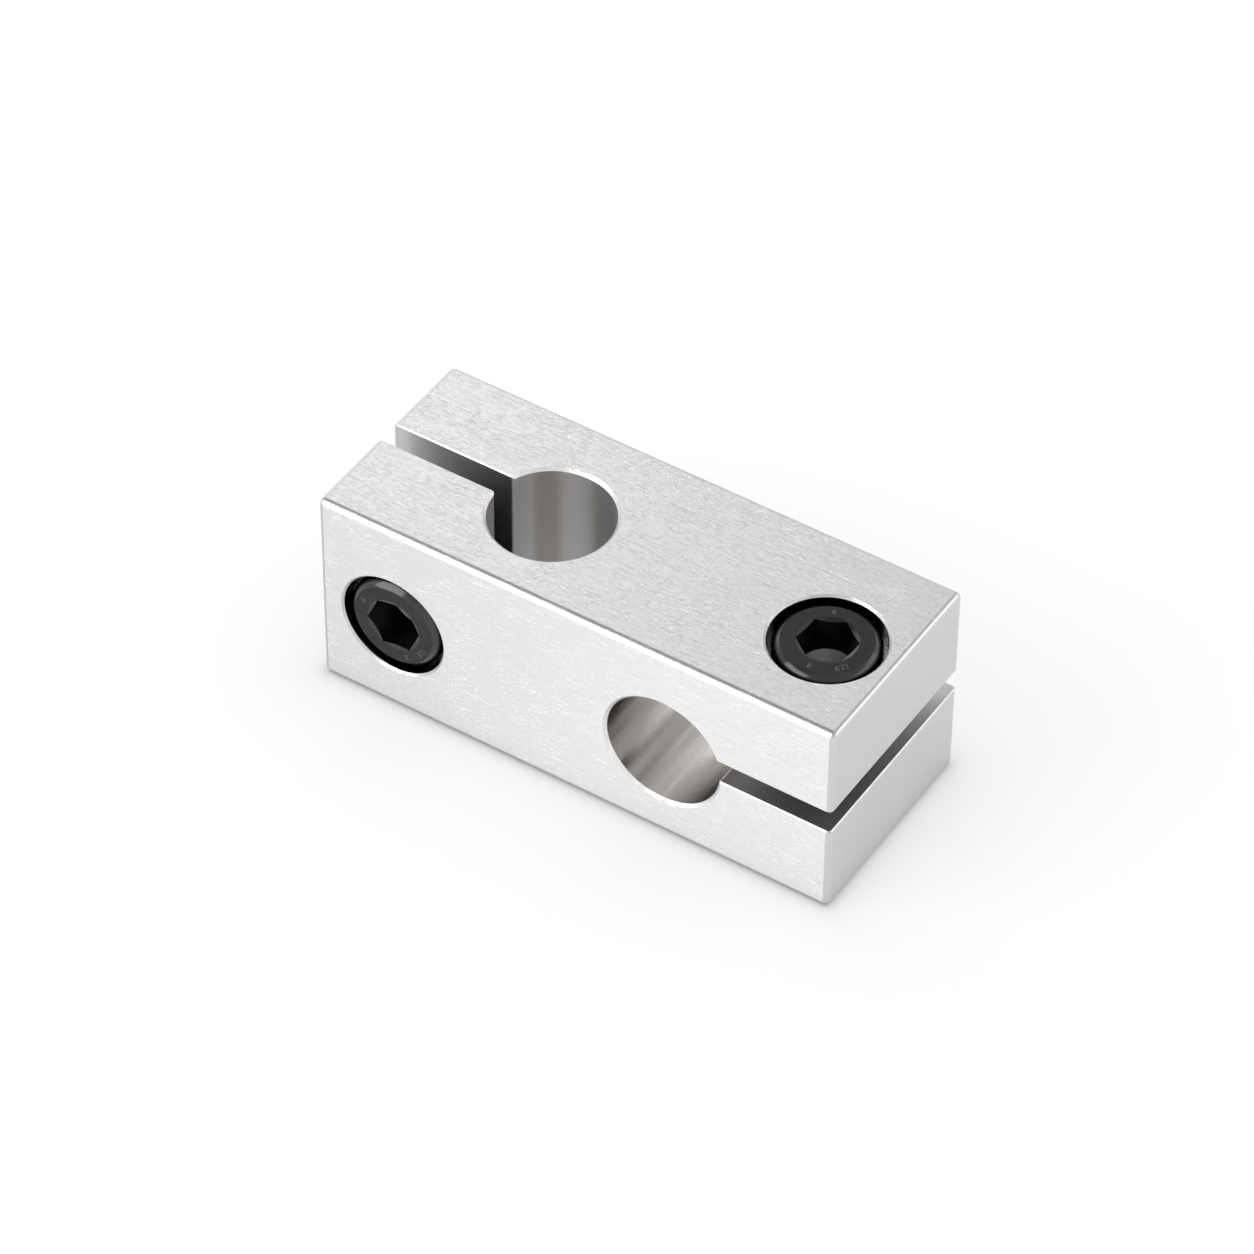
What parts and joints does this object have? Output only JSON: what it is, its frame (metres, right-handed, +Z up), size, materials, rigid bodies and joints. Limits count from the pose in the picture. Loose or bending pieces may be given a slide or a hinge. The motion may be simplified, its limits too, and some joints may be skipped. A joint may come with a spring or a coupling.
{
  "type": "cross clamp block",
  "caption": "Square bar clamp for two round rods at right angles, each bore slotted to its end and drawn closed by a socket head cap screw.",
  "frame": {"origin": "middle of the bottom face, which the block rests on", "axes": "+X along the block, from the end with the upright bore to the end with the cross bore; -Y out of the front face; +Z up, along the upright bore"},
  "size_m": [0.055, 0.022, 0.022],
  "materials": {
    "brushed_aluminium": "fine brushed along the bar, milled ends smoother and greyer",
    "black_oxide_steel": "black oxide"
  },
  "bodies": {
    "block": {"clamp_block": "brushed_aluminium"},
    "front_screw": {"front_clamp_screw": "black_oxide_steel"},
    "top_screw": {"top_clamp_screw": "black_oxide_steel"}
  },
  "joints": [
    {"name": "front_screw_turn", "type": "hinge", "parent": "block", "child": "front_screw", "pos_m": [-0.0196, -0.011, 0.0101], "axis": [0, -1, 0], "range_deg": [0, 810]},
    {"name": "top_screw_turn", "type": "hinge", "parent": "block", "child": "top_screw", "pos_m": [0.0206, -0.0009, 0.022], "axis": [0, 0, 1], "range_deg": [0, 810]}
  ]
}
